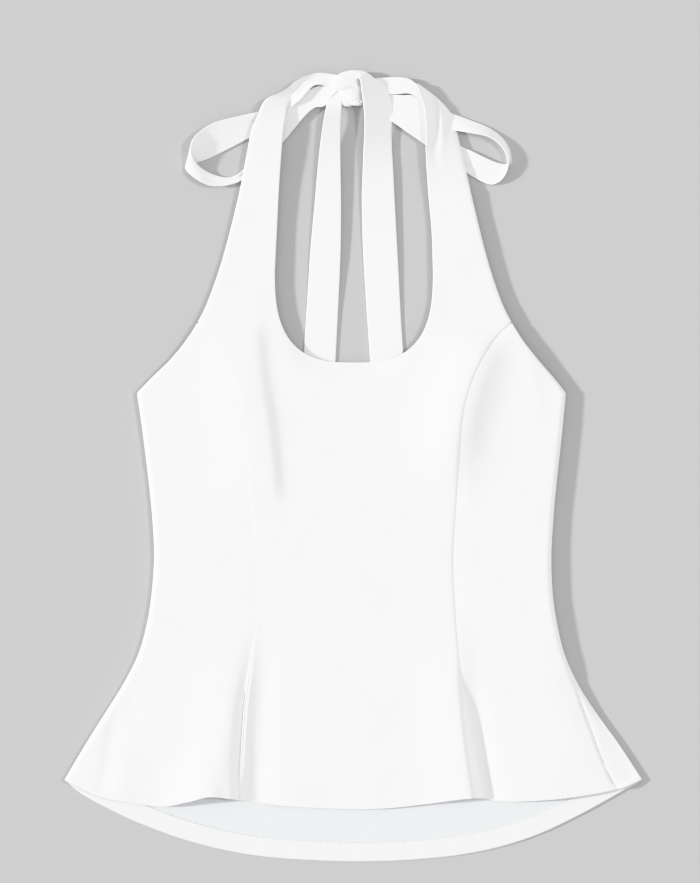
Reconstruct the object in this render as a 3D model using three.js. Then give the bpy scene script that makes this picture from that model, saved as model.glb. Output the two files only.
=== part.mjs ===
// A halter neck top laid flat, front up: a centre front cut in one with both straps, two side
// fronts, one back with its hem turned up, and the straps' ties knotted in a bow at the nape.
// Millimetres. +X to the right of the laid garment, +Y towards the neck, +Z up from the surface.
// The origin is under the middle of its outline, on the surface that it lies on.
import * as THREE from 'three';

// Driving dimensions
const clothWall = 2.0; // front cloth with its facing turned in
const backWall = 2.0; // back cloth
const hemWall = 3.0; // back cloth where the hem is turned up on it
const hemTurnUp = 18.0; // depth of the turned-up hem
const tieWall = 1.2; // a tie is cloth sewn double and pressed flat
const seamGap = 0.3; // between pieces that meet
const sidePanelDrop = 0.6; // side fronts lie this much lower at the princess seams
const cornerY = 74.0; // height of the underarm corners on the laid garment
const seamTopY = 145.0; // where the princess seams run out into the armhole edges
const bodyTopY = 92.0; // level just under the neckline where the straps' zones begin
const backTopY = 72.0; // the back's straight top edge, hidden under the front
const strapTop = { left: 361.0, right: 357.0 }; // where each strap turns into its tie

// Neckline: a deep round scoop
const scoop = { x: 1.0, topY: 197.0, halfWidth: 79.0, depth: 92.5, power: 2.85 };

// Body sides from the hem corners up to the underarm
const bodySide = [
  { y: -313, left: -288.5, right: 289.5 },
  { y: -278, left: -267.8, right: 266.6 },
  { y: -248, left: -249.0, right: 244.9 },
  { y: -218, left: -230.2, right: 225.6 },
  { y: -188, left: -215.0, right: 212.0 },
  { y: -158, left: -206.3, right: 204.5 },
  { y: -128, left: -201.5, right: 200.0 },
  { y: -90, left: -198.8, right: 198.5 },
  { y: -53, left: -200.5, right: 200.5 },
  { y: -23, left: -203.3, right: 203.0 },
  { y: 37, left: -210.6, right: 209.5 },
  { y: cornerY, left: -216.0, right: 213.0 },
];

// Armhole edges from the underarm up the outside of the straps
const armhole = [
  { y: cornerY, left: -216.0, right: 213.0 },
  { y: 87, left: -203.7, right: 202.8 },
  { y: 107, left: -183.0, right: 185.5 },
  { y: 127, left: -166.6, right: 169.8 },
  { y: 147, left: -154.0, right: 157.4 },
  { y: 167, left: -144.6, right: 147.9 },
  { y: 207, left: -130.8, right: 134.7 },
  { y: 267, left: -115.3, right: 119.7 },
  { y: 313, left: -106.1, right: 109.2 },
  { y: 337, left: -101.2, right: 103.9 },
  { y: 352, left: -94.8, right: 99.5 },
  { y: 361, left: -91.5, right: 92.0 },
];

// Inner edges of the straps above the scoop
const strapInner = [
  { y: 197, left: -78.0, right: 80.0 },
  { y: 237, left: -76.0, right: 78.6 },
  { y: 277, left: -74.0, right: 75.0 },
  { y: 313, left: -71.6, right: 72.8 },
  { y: 337, left: -69.6, right: 72.6 },
  { y: 361, left: -66.0, right: 70.6 },
];

// Princess seams, from the armhole edge down to the hem
const princess = [
  { y: -336, left: -114.0, right: 120.0 },
  { y: -278, left: -111.1, right: 113.2 },
  { y: -233, left: -107.7, right: 109.2 },
  { y: -188, left: -101.5, right: 105.2 },
  { y: -155, left: -96.5, right: 102.4 },
  { y: -93, left: -95.5, right: 99.5 },
  { y: -38, left: -102.2, right: 102.5 },
  { y: 7, left: -106.0, right: 105.4 },
  { y: 37, left: -108.0, right: 107.4 },
  { y: 67, left: -113.6, right: 112.2 },
  { y: 97, left: -123.5, right: 123.0 },
  { y: 127, left: -141.5, right: 140.5 },
  { y: seamTopY, left: -155.2, right: 158.2 },
];

// Front hem, which is shorter than the back and lifts in one wave
const frontHem = [
  { x: -288.5, y: -313 },
  { x: -253, y: -329.4 },
  { x: -213, y: -337.4 },
  { x: -188, y: -339.5 },
  { x: -163, y: -334 },
  { x: -143, y: -329.3 },
  { x: -113, y: -333 },
  { x: -73, y: -338.7 },
  { x: -13, y: -342 },
  { x: 27, y: -341.8 },
  { x: 67, y: -337.9 },
  { x: 120, y: -331 },
  { x: 147, y: -334.5 },
  { x: 187, y: -333.5 },
  { x: 227, y: -329.3 },
  { x: 267, y: -321.6 },
  { x: 289.5, y: -313 },
];

// Back hem, the longer one
const backHem = [
  { x: -288.5, y: -313 },
  { x: -273, y: -326.7 },
  { x: -233, y: -348.2 },
  { x: -193, y: -364.9 },
  { x: -153, y: -377.8 },
  { x: -113, y: -386.7 },
  { x: -73, y: -391.8 },
  { x: -13, y: -394.9 },
  { x: 27, y: -394.9 },
  { x: 67, y: -392.9 },
  { x: 107, y: -388.7 },
  { x: 147, y: -380.7 },
  { x: 187, y: -367.6 },
  { x: 227, y: -348.6 },
  { x: 267, y: -326.5 },
  { x: 289.5, y: -313 },
];

// Height of the front's upper face above the surface, before its folds: low at the hem, lying
// over the back along the body, thinner on the straps and raised again over the bow's loops
const frontRise = [
  { y: -345, z: 5.8 },
  { y: -290, z: 7.2 },
  { y: -200, z: 7.8 },
  { y: 60, z: 7.8 },
  { y: 130, z: 7.2 },
  { y: 200, z: 6.6 },
  { y: 260, z: 6.8 },
  { y: 300, z: 8.0 },
  { y: 330, z: 9.6 },
  { y: 361, z: 9.8 },
];

// How far the front's upper face rolls down at its side edges
const edgeRoll = [
  { y: -313, depth: 1.4 },
  { y: -250, depth: 3.2 },
  { y: 60, depth: 3.2 },
  { y: 110, depth: 1.0 },
  { y: 361, depth: 0.6 },
];
const rollWidth = 6.0;

// Fullness of the bust, with its crest on each princess seam
const bust = { y: 50, reach: 78, height: 2.2, flank: 27 };

// Folds of the flared hem: each has its crest beside a seam and grows from its start to the hem
const flareFolds = [
  { seam: 'left', offset: -9, startY: -150, height: 4.2, leftFlank: 46, rightFlank: 22 },
  { seam: 'right', offset: -2, startY: -140, height: 5.2, leftFlank: 55, rightFlank: 21 },
];

// Waves of the front hem, highest at the edge
const hemWaves = [
  { x: -146, height: 3.6, flank: 34, reach: 70 },
  { x: 196, height: 1.6, flank: 46, reach: 80 },
  { x: -238, height: 1.2, flank: 26, reach: 90 },
];

// Smooth value of a table's column between its rows
function along(rows, column, by, at) {
  let i = 0;
  while (i < rows.length - 2 && at > rows[i + 1][by]) i += 1;
  const before = rows[Math.max(i - 1, 0)];
  const a = rows[i];
  const b = rows[i + 1];
  const after = rows[Math.min(i + 2, rows.length - 1)];
  const span = b[by] - a[by];
  const t = THREE.MathUtils.clamp((at - a[by]) / span, 0, 1);
  const slopeA = (b[column] - before[column]) / (b[by] - before[by]);
  const slopeB = (after[column] - a[column]) / (after[by] - a[by]);
  const bend = t * (1 - t);
  const straight = (b[column] - a[column]) / span;
  const hermite = (slopeA - straight) * (1 - t) - (slopeB - straight) * t;
  return a[column] + straight * span * t + bend * span * hermite;
}

function outlineX(side, y) {
  return along(y < cornerY ? bodySide : armhole, side, 'y', y);
}

function raisedCosine(distance, reach) {
  const t = Math.min(Math.abs(distance) / reach, 1);
  return 0.5 + 0.5 * Math.cos(Math.PI * t);
}

// Upper face of the front at a place in plan
function frontTop(x, y) {
  let z = along(frontRise, 'z', 'y', y);
  for (const side of ['left', 'right']) {
    const fromSeam = x - along(princess, side, 'y', Math.min(y, seamTopY));
    const rise = Math.exp(-(((y - bust.y) / bust.reach) ** 2));
    z += bust.height * rise * Math.exp(-((fromSeam / bust.flank) ** 2));
  }
  for (const fold of flareFolds) {
    const hemY = along(frontHem, 'y', 'x', x);
    const grown = THREE.MathUtils.clamp((fold.startY - y) / (fold.startY - hemY), 0, 1);
    const fromCrest = x - along(princess, fold.seam, 'y', y) - fold.offset;
    const flank = fromCrest < 0 ? fold.leftFlank : fold.rightFlank;
    z += fold.height * Math.sin((grown * Math.PI) / 2) * raisedCosine(fromCrest, flank);
  }
  for (const wave of hemWaves) {
    const fromHem = y - along(frontHem, 'y', 'x', x);
    z += wave.height * raisedCosine(fromHem, wave.reach) * raisedCosine(x - wave.x, wave.flank);
  }
  const inset = Math.max(Math.min(x - outlineX('left', y), outlineX('right', y) - x), 0);
  const t = Math.min(inset / rollWidth, 1);
  z -= along(edgeRoll, 'depth', 'y', y) * (1 - Math.sqrt(1 - (1 - t) ** 2));
  return z;
}

// A Coons patch: plan points inside four edges, each edge a function of 0 to 1
function patch(bottom, top, left, right, acrossSteps, upSteps) {
  return upSteps.map((v) => acrossSteps.map((u) => {
    const [b, t, l, r] = [bottom(u), top(u), left(v), right(v)];
    const corners = [bottom(0), bottom(1), top(0), top(1)];
    return [0, 1].map((k) => (1 - v) * b[k] + v * t[k] + (1 - u) * l[k] + u * r[k]
      - (1 - u) * (1 - v) * corners[0][k] - u * (1 - v) * corners[1][k]
      - (1 - u) * v * corners[2][k] - u * v * corners[3][k]);
  }));
}

function evenSteps(count) {
  return Array.from({ length: count + 1 }, (_, i) => i / count);
}

// Steps from 0 to 1 that start with a few close ones and go on evenly
function edgedSteps(close, count) {
  const last = close[close.length - 1];
  return [...close.slice(0, -1), ...evenSteps(count).map((t) => last + (1 - last) * t)];
}

function planKey([x, y]) {
  return `${x.toFixed(3)},${y.toFixed(3)}`;
}

// One closed wall over plan patches that share their border points: an upper face, a lower
// face and a rim along every border that no two patches share
function wallOverPlan(patches, upper, lower) {
  const plan = [];
  const seen = new Map();
  const indexOf = (place) => {
    const key = planKey(place);
    if (!seen.has(key)) {
      seen.set(key, plan.length);
      plan.push(place);
    }
    return seen.get(key);
  };
  const faces = [];
  for (const rows of patches) {
    for (let j = 0; j + 1 < rows.length; j += 1) {
      for (let i = 0; i + 1 < rows[j].length; i += 1) {
        const a = indexOf(rows[j][i]);
        const b = indexOf(rows[j][i + 1]);
        const c = indexOf(rows[j + 1][i + 1]);
        const d = indexOf(rows[j + 1][i]);
        faces.push([a, b, c], [a, c, d]);
      }
    }
  }
  const sound = faces.filter(([a, b, c]) => a !== b && b !== c && a !== c);
  const count = plan.length;
  const points = [];
  for (const [x, y] of plan) points.push(x, y, upper(x, y));
  for (const [x, y] of plan) points.push(x, y, lower(x, y));
  const triangles = [];
  const borders = new Map();
  for (const face of sound) {
    triangles.push(...face);
    triangles.push(face[0] + count, face[2] + count, face[1] + count);
    for (let k = 0; k < 3; k += 1) {
      const [from, to] = [face[k], face[(k + 1) % 3]];
      if (!borders.delete(`${to},${from}`)) borders.set(`${from},${to}`, [from, to]);
    }
  }
  for (const [from, to] of borders.values()) {
    triangles.push(from, from + count, to + count, from, to + count, to);
  }
  return closedGeometry(points, triangles);
}

function closedGeometry(points, triangles) {
  const geometry = new THREE.BufferGeometry();
  geometry.setAttribute('position', new THREE.Float32BufferAttribute(points, 3));
  geometry.setIndex(triangles);
  geometry.computeVertexNormals();
  return geometry;
}

// A point on a panel's side edge, moved in by half the seam gap where a seam lies there
function edgeAt(side, y, inward, isSeam) {
  const x = isSeam ? along(princess, side, 'y', y) : outlineX(side, y);
  return [x + inward, y];
}

function hemPoint(rows, x) {
  return [x, along(rows, 'y', 'x', x)];
}

const lerp = THREE.MathUtils.lerp;

// Levels of the rows that the panels share along a princess seam: the first is on the hem
const bodySteps = edgedSteps([0, 0.02, 0.06, 0.12], 13);
const riseSteps = evenSteps(10);
const sideTopSteps = [0.1, 0.2, 0.3, 0.4, 0.47];
const half = seamGap / 2;

function seamHem(side) {
  const x = along(princess, side, 'y', -332) + (side === 'left' ? -half : half);
  return hemPoint(frontHem, x);
}

function seamLevels(side) {
  const hemY = seamHem(side)[1];
  return bodySteps.map((t) => lerp(hemY, bodyTopY, t));
}

// The centre front with both straps, cut in one
function centreFrontGeometry() {
  const [levelsLeft, levelsRight] = [seamLevels('left'), seamLevels('right')];
  const last = bodySteps.length - 1;
  const leftUp = (v) => edgeAt('left', levelsLeft[Math.round(v * last)], half, true);
  const rightUp = (v) => edgeAt('right', levelsRight[Math.round(v * last)], -half, true);
  const hem = (u) => {
    if (u === 0) return leftUp(0);
    if (u === 1) return rightUp(0);
    return hemPoint(frontHem, lerp(leftUp(0)[0], rightUp(0)[0], u));
  };
  const bodyTop = (u) => [lerp(leftUp(1)[0], rightUp(1)[0], u), bodyTopY];
  const width = rightUp(1)[0] - leftUp(1)[0];
  const shareLeft = (scoop.x - scoop.halfWidth - leftUp(1)[0]) / width;
  const shareRight = (scoop.x + scoop.halfWidth - leftUp(1)[0]) / width;

  // Columns: four to the scoop's left side, ten round the scoop, four to the right seam
  const strapSteps = edgedSteps([0, 0.12, 0.35], 2);
  const scoopTurn = evenSteps(10).map((t) => Math.PI * (t - 0.5));
  const scoopPoint = (turn) => {
    const across = Math.abs(Math.sin(turn)) ** (2 / scoop.power);
    const down = Math.max(Math.cos(turn), 0) ** (2 / scoop.power);
    const x = scoop.x + scoop.halfWidth * Math.sign(turn) * across;
    return [x, scoop.topY - scoop.depth * down];
  };
  const scoopShares = scoopTurn.map((turn) => (scoopPoint(turn)[0] - leftUp(1)[0]) / width);
  const columns = [
    ...strapSteps.slice(0, -1).map((t) => t * shareLeft),
    ...scoopShares,
    ...strapSteps.slice(0, -1).reverse().map((t) => 1 - t * (1 - shareRight)),
  ];
  const body = patch(hem, bodyTop, leftUp, rightUp, columns, evenSteps(last));

  // Under the scoop the rows rise from the body's top to the neckline
  const under = riseSteps.map((v) => scoopTurn.map((turn) => {
    const [x, y] = scoopPoint(turn);
    return [x, lerp(bodyTopY, y, v)];
  }));

  // Beside the scoop the outer edge is the seam and then the armhole
  const beside = (side) => riseSteps.map((v) => {
    const y = lerp(bodyTopY, scoop.topY, v);
    const inward = side === 'left' ? half : -half;
    const isSeam = y < seamTopY;
    const outerX = edgeAt(side, y, isSeam ? inward : 0, isSeam)[0];
    const innerX = scoop.x + (side === 'left' ? -1 : 1) * scoop.halfWidth;
    const row = strapSteps.map((t) => [lerp(outerX, innerX, t), y]);
    return side === 'left' ? row : row.reverse();
  });

  const strap = (side) => evenSteps(12).map((v) => {
    const y = lerp(scoop.topY, strapTop[side], v);
    const inner = along(strapInner, side, 'y', y);
    const row = strapSteps.map((t) => [lerp(outlineX(side, y), inner, t), y]);
    return side === 'left' ? row : row.reverse();
  });
  return wallOverPlan(
    [body, under, beside('left'), beside('right'), strap('left'), strap('right')],
    frontTop,
    (x, y) => frontTop(x, y) - clothWall,
  );
}

// A side front, from its princess seam to the side edge and the armhole
function sideFrontGeometry(side) {
  const away = side === 'left' ? -half : half;
  const seamYs = [...seamLevels(side), ...sideTopSteps.map((v) => lerp(bodyTopY, scoop.topY, v))];
  const corner = bodySteps.length - 1;
  const topY = seamYs[seamYs.length - 1];
  const edgeYs = seamYs.map((_, i) => (i <= corner
    ? lerp(bodySide[0].y, cornerY, bodySteps[i])
    : lerp(cornerY, topY, (i - corner) / sideTopSteps.length)));
  const last = seamYs.length - 1;
  const outer = (v) => {
    const y = edgeYs[Math.round(v * last)];
    return [outlineX(side, y), y];
  };
  const inner = (v) => edgeAt(side, seamYs[Math.round(v * last)], away, true);
  const hem = (u) => {
    if (u === 0) return outer(0);
    if (u === 1) return inner(0);
    return hemPoint(frontHem, lerp(outer(0)[0], inner(0)[0], u));
  };
  const top = (u) => [lerp(outer(1)[0], inner(1)[0], u), topY];
  const columns = [0, 0.008, 0.03, 0.065, 0.2, 0.4, 0.6, 0.75, 0.85, 0.93, 1];
  const grid = patch(hem, top, outer, inner, columns, evenSteps(last));
  const ordered = side === 'left' ? grid : grid.map((row) => row.slice().reverse());
  const lowered = (x, y) => {
    const fromSeam = x - along(princess, side, 'y', Math.min(y, seamTopY));
    return frontTop(x, y) - sidePanelDrop * raisedCosine(fromSeam, 14);
  };
  return wallOverPlan([ordered], lowered, (x, y) => lowered(x, y) - clothWall);
}

// The back lies flat on the surface and carries its turned-up hem on its inside
function backGeometry() {
  const [first, last] = [bodySide[0], bodySide[bodySide.length - 1]];
  const inset = 0.8;
  const hem = (u) => hemPoint(backHem, lerp(first.left + inset, first.right - inset, u));
  const top = (u) => [lerp(last.left + inset, last.right - inset, u), backTopY];
  const leftUp = (v) => {
    const y = lerp(hem(0)[1], backTopY, v);
    return [outlineX('left', y) + inset, y];
  };
  const rightUp = (v) => {
    const y = lerp(hem(1)[1], backTopY, v);
    return [outlineX('right', y) - inset, y];
  };
  const turnShare = hemTurnUp / (backTopY - hem(0.5)[1]);
  const upperRows = evenSteps(14).slice(1).map((t) => lerp(0.05, 1, t));
  const rows = [0, turnShare, turnShare + 0.004, ...upperRows];
  const grid = patch(hem, top, leftUp, rightUp, evenSteps(24), rows);
  const turned = new Set([...grid[0], ...grid[1]].map(planKey));
  const thickness = (x, y) => (turned.has(planKey([x, y])) ? hemWall : backWall);
  return wallOverPlan([grid], thickness, () => 0);
}

// Ties. Each row is a place along the tie: one edge (ax, ay, az) and the other (bx, by, bz)
const strapTieLeft = [
  { ax: -91.2, ay: 361.4, az: 8.6, bx: -66.0, by: 361.4, bz: 8.6 },
  { ax: -84.5, ay: 369.0, az: 7.8, bx: -64.0, by: 364.0, bz: 8.6 },
  { ax: -74.0, ay: 374.5, az: 6.6, bx: -60.5, by: 368.5, bz: 8.6 },
  { ax: -58.0, ay: 385.0, az: 4.4, bx: -52.0, by: 376.0, bz: 8.8 },
  { ax: -47.0, ay: 390.5, az: 4.0, bx: -43.0, by: 381.5, bz: 9.0 },
  { ax: -35.5, ay: 393.4, az: 4.0, bx: -34.0, by: 386.0, bz: 9.0 },
  { ax: -23.0, ay: 393.0, az: 4.4, bx: -23.0, by: 385.0, bz: 9.2 },
  { ax: -17.0, ay: 390.5, az: 5.0, bx: -17.0, by: 383.5, bz: 9.2 },
];
const strapTieRight = [
  { ax: 70.6, ay: 357.4, az: 8.4, bx: 94.8, by: 357.4, bz: 8.4 },
  { ax: 68.0, ay: 365.0, az: 8.4, bx: 86.0, by: 368.0, bz: 7.6 },
  { ax: 63.5, ay: 371.0, az: 8.2, bx: 75.0, by: 377.5, bz: 6.6 },
  { ax: 56.0, ay: 373.0, az: 7.4, bx: 62.0, by: 384.5, bz: 5.4 },
  { ax: 45.0, ay: 373.0, az: 6.2, bx: 50.0, by: 389.5, bz: 4.2 },
  { ax: 31.0, ay: 373.0, az: 5.2, bx: 31.0, by: 389.5, bz: 3.6 },
  { ax: 18.0, ay: 374.0, az: 4.6, bx: 18.0, by: 388.5, bz: 3.6 },
  { ax: 9.6, ay: 374.5, az: 4.6, bx: 9.6, by: 387.5, bz: 3.8 },
];
const loopLeft = [
  { ax: -17.4, ay: 380.0, az: 1.4, bx: -20.0, by: 368.0, bz: 1.2 },
  { ax: -35.0, ay: 377.0, az: 1.1, bx: -31.5, by: 363.0, bz: 0.9 },
  { ax: -50.0, ay: 369.0, az: 1.0, bx: -45.0, by: 355.5, bz: 0.9 },
  { ax: -66.0, ay: 359.0, az: 1.1, bx: -61.0, by: 344.5, bz: 0.9 },
  { ax: -83.0, ay: 354.5, az: 1.6, bx: -83.0, by: 336.0, bz: 0.9 },
  { ax: -96.5, ay: 352.0, az: 4.0, bx: -101.5, by: 330.0, bz: 1.0 },
  { ax: -115.5, ay: 349.5, az: 7.6, bx: -121.5, by: 320.0, bz: 0.9 },
  { ax: -137.0, ay: 344.5, az: 10.0, bx: -143.0, by: 309.5, bz: 0.9 },
  { ax: -151.5, ay: 336.5, az: 11.0, bx: -157.0, by: 304.5, bz: 0.9 },
  { ax: -160.0, ay: 326.5, az: 11.6, bx: -165.0, by: 303.0, bz: 0.9 },
  { ax: -161.8, ay: 316.5, az: 11.6, bx: -167.6, by: 299.0, bz: 0.9 },
  { ax: -158.5, ay: 306.5, az: 11.2, bx: -164.5, by: 294.0, bz: 0.9 },
  { ax: -150.0, ay: 298.0, az: 10.0, bx: -154.0, by: 286.0, bz: 0.9 },
  { ax: -137.5, ay: 292.0, az: 8.4, bx: -141.5, by: 281.0, bz: 0.9 },
  { ax: -122.5, ay: 290.0, az: 6.4, bx: -125.0, by: 281.8, bz: 0.9 },
  { ax: -109.5, ay: 298.0, az: 4.4, bx: -107.0, by: 289.0, bz: 1.4 },
  { ax: -97.0, ay: 315.5, az: 3.4, bx: -88.0, by: 307.0, bz: 2.6 },
  { ax: -84.0, ay: 338.0, az: 3.1, bx: -69.4, by: 326.0, bz: 3.6 },
  { ax: -63.0, ay: 362.0, az: 3.1, bx: -47.6, by: 351.6, bz: 4.6 },
  { ax: -50.0, ay: 374.0, az: 3.2, bx: -38.0, by: 359.5, bz: 5.0 },
  { ax: -35.0, ay: 380.0, az: 3.8, bx: -30.0, by: 360.2, bz: 5.2 },
  { ax: -17.6, ay: 381.5, az: 4.6, bx: -23.8, by: 361.0, bz: 5.2 },
];
const loopRight = [
  { ax: 9.8, ay: 360.0, az: 1.6, bx: 9.8, by: 371.0, bz: 1.2 },
  { ax: 31.0, ay: 355.0, az: 1.4, bx: 31.0, by: 371.6, bz: 1.1 },
  { ax: 52.0, ay: 348.5, az: 1.3, bx: 56.0, by: 369.0, bz: 1.0 },
  { ax: 70.0, ay: 343.0, az: 1.3, bx: 72.0, by: 363.5, bz: 0.9 },
  { ax: 88.0, ay: 339.0, az: 1.8, bx: 86.0, by: 359.5, bz: 0.9 },
  { ax: 105.0, ay: 336.0, az: 4.2, bx: 99.5, by: 354.0, bz: 1.0 },
  { ax: 119.0, ay: 333.5, az: 7.4, bx: 116.0, by: 347.5, bz: 0.9 },
  { ax: 135.0, ay: 330.0, az: 9.8, bx: 135.0, by: 340.0, bz: 0.9 },
  { ax: 146.0, ay: 322.5, az: 10.6, bx: 147.5, by: 331.5, bz: 0.9 },
  { ax: 153.0, ay: 313.5, az: 11.0, bx: 155.0, by: 320.0, bz: 0.9 },
  { ax: 155.4, ay: 303.5, az: 11.0, bx: 156.0, by: 309.0, bz: 0.9 },
  { ax: 153.5, ay: 292.5, az: 10.6, bx: 153.0, by: 300.5, bz: 0.9 },
  { ax: 147.5, ay: 285.5, az: 10.0, bx: 145.0, by: 302.0, bz: 0.9 },
  { ax: 139.0, ay: 282.8, az: 9.0, bx: 132.0, by: 309.5, bz: 0.9 },
  { ax: 129.0, ay: 286.0, az: 7.4, bx: 118.0, by: 316.5, bz: 0.9 },
  { ax: 113.0, ay: 294.5, az: 4.4, bx: 108.0, by: 321.0, bz: 1.6 },
  { ax: 96.0, ay: 306.0, az: 4.0, bx: 92.0, by: 333.0, bz: 3.4 },
  { ax: 71.5, ay: 323.0, az: 4.1, bx: 78.0, by: 350.0, bz: 4.0 },
  { ax: 54.0, ay: 335.0, az: 4.2, bx: 60.0, by: 364.0, bz: 4.2 },
  { ax: 38.5, ay: 346.0, az: 4.4, bx: 44.0, by: 371.4, bz: 4.3 },
  { ax: 22.0, ay: 357.0, az: 4.4, bx: 26.0, by: 371.6, bz: 4.0 },
  { ax: 9.8, ay: 360.0, az: 4.2, bx: 9.8, by: 371.2, bz: 3.8 },
];
const tailLeft = [
  { ax: -27.0, ay: 359.4, az: 5.6, bx: -11.3, by: 359.4, bz: 6.4 },
  { ax: -28.8, ay: 349.0, az: 7.0, bx: -12.2, by: 349.0, bz: 7.4 },
  { ax: -31.6, ay: 331.0, az: 6.8, bx: -12.7, by: 331.0, bz: 7.0 },
  { ax: -34.4, ay: 307.0, az: 5.6, bx: -12.5, by: 307.0, bz: 5.8 },
  { ax: -38.0, ay: 267.0, az: 3.8, bx: -11.9, by: 267.0, bz: 4.0 },
  { ax: -42.5, ay: 217.0, az: 2.4, bx: -12.3, by: 217.0, bz: 2.6 },
  { ax: -45.7, ay: 167.0, az: 1.0, bx: -14.4, by: 167.0, bz: 1.2 },
  { ax: -47.6, ay: 137.0, az: 0.8, bx: -15.9, by: 137.0, bz: 0.8 },
  { ax: -50.0, ay: 107.0, az: 0.8, bx: -17.4, by: 107.0, bz: 0.8 },
  { ax: -51.6, ay: 80.0, az: 0.8, bx: -18.4, by: 80.0, bz: 0.8 },
];
const tailRight = [
  { ax: 9.8, ay: 388.0, az: 8.6, bx: 23.0, by: 388.0, bz: 8.0 },
  { ax: 10.4, ay: 376.0, az: 9.2, bx: 31.5, by: 376.0, bz: 8.4 },
  { ax: 11.4, ay: 361.0, az: 8.8, bx: 37.0, by: 361.0, bz: 8.2 },
  { ax: 11.2, ay: 342.0, az: 7.0, bx: 38.0, by: 342.0, bz: 6.6 },
  { ax: 10.6, ay: 317.0, az: 4.6, bx: 39.2, by: 317.0, bz: 4.4 },
  { ax: 8.9, ay: 267.0, az: 2.6, bx: 41.8, by: 267.0, bz: 2.6 },
  { ax: 10.2, ay: 217.0, az: 1.6, bx: 44.5, by: 217.0, bz: 1.6 },
  { ax: 13.1, ay: 167.0, az: 0.9, bx: 47.1, by: 167.0, bz: 0.9 },
  { ax: 15.2, ay: 137.0, az: 0.8, bx: 48.8, by: 137.0, bz: 0.8 },
  { ax: 17.2, ay: 107.0, az: 0.8, bx: 51.0, by: 107.0, bz: 0.8 },
  { ax: 18.8, ay: 80.0, az: 0.8, bx: 52.6, by: 80.0, bz: 0.8 },
];

// A tie's closed wall: a flat band between two smooth edges, its faces set off to both sides
function tieGeometry(rows, stepsPerRow, across) {
  const edgeA = new THREE.CatmullRomCurve3(rows.map((r) => new THREE.Vector3(r.ax, r.ay, r.az)));
  const edgeB = new THREE.CatmullRomCurve3(rows.map((r) => new THREE.Vector3(r.bx, r.by, r.bz)));
  const count = (rows.length - 1) * stepsPerRow;
  const points = [];
  const ring = 2 * (across + 1);
  for (let j = 0; j <= count; j += 1) {
    const t = j / count;
    const a = edgeA.getPoint(t);
    const b = edgeB.getPoint(t);
    const onward = edgeA.getTangent(t).add(edgeB.getTangent(t));
    const facing = b.clone().sub(a).cross(onward).normalize();
    for (let k = 0; k <= across; k += 1) {
      const p = a.clone().lerp(b, k / across).addScaledVector(facing, tieWall / 2);
      points.push(p.x, p.y, p.z);
    }
    for (let k = across; k >= 0; k -= 1) {
      const p = a.clone().lerp(b, k / across).addScaledVector(facing, -tieWall / 2);
      points.push(p.x, p.y, p.z);
    }
  }
  return closeRings(points, ring, count);
}

// Joins rings of points into one closed body, with a flat end at each end
function closeRings(points, ring, count) {
  const triangles = [];
  for (let j = 0; j < count; j += 1) {
    for (let k = 0; k < ring; k += 1) {
      const [a, b] = [j * ring + k, j * ring + ((k + 1) % ring)];
      const [c, d] = [b + ring, a + ring];
      triangles.push(a, b, c, a, c, d);
    }
  }
  const last = count * ring;
  for (let k = 0; k + 1 < ring / 2; k += 1) {
    const opposite = ring - 1 - k;
    triangles.push(k, opposite, opposite - 1, k, opposite - 1, k + 1);
    triangles.push(last + k, last + k + 1, last + opposite - 1);
    triangles.push(last + k, last + opposite - 1, last + opposite);
  }
  return facingOut(closedGeometry(points, triangles));
}

// Turns a closed body's faces outwards if they point in
function facingOut(geometry) {
  const at = geometry.attributes.position;
  const index = geometry.index.array;
  const [a, b, c] = [new THREE.Vector3(), new THREE.Vector3(), new THREE.Vector3()];
  let volume = 0;
  for (let i = 0; i < index.length; i += 3) {
    a.fromBufferAttribute(at, index[i]);
    b.fromBufferAttribute(at, index[i + 1]);
    c.fromBufferAttribute(at, index[i + 2]);
    volume += a.dot(b.cross(c)) / 6;
  }
  if (volume > 0) return geometry;
  const turned = [];
  for (let i = 0; i < index.length; i += 3) turned.push(index[i], index[i + 2], index[i + 1]);
  geometry.setIndex(turned);
  geometry.computeVertexNormals();
  return geometry;
}

// The knot: rounded sections across it, from the nape side down to the tails
const knotSections = [
  { y: 394.9, left: -8.0, right: 2.0, low: 3.6, high: 7.4 },
  { y: 392.0, left: -13.0, right: 6.5, low: 2.0, high: 10.0 },
  { y: 386.0, left: -15.8, right: 9.0, low: 0.6, high: 12.4 },
  { y: 376.0, left: -16.6, right: 9.2, low: 0.4, high: 13.0 },
  { y: 369.0, left: -16.8, right: 9.2, low: 0.4, high: 12.2 },
  { y: 365.0, left: -19.0, right: 9.2, low: 0.5, high: 11.0 },
  { y: 362.0, left: -22.0, right: 9.0, low: 0.8, high: 9.8 },
  { y: 359.8, left: -21.0, right: 7.0, low: 2.0, high: 8.0 },
];

function knotGeometry() {
  const ring = 20;
  const roundness = 2 / 3;
  const points = [];
  for (const row of knotSections) {
    const [cx, cz] = [(row.left + row.right) / 2, (row.low + row.high) / 2];
    const [rx, rz] = [(row.right - row.left) / 2, (row.high - row.low) / 2];
    for (let k = 0; k < ring; k += 1) {
      const turn = ((k + 0.5) / ring) * 2 * Math.PI;
      const [c, s] = [Math.cos(turn), Math.sin(turn)];
      points.push(cx + rx * Math.sign(c) * Math.abs(c) ** roundness, row.y,
        cz + rz * Math.sign(s) * Math.abs(s) ** roundness);
    }
  }
  return closeRings(points, ring, knotSections.length - 1);
}

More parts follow.
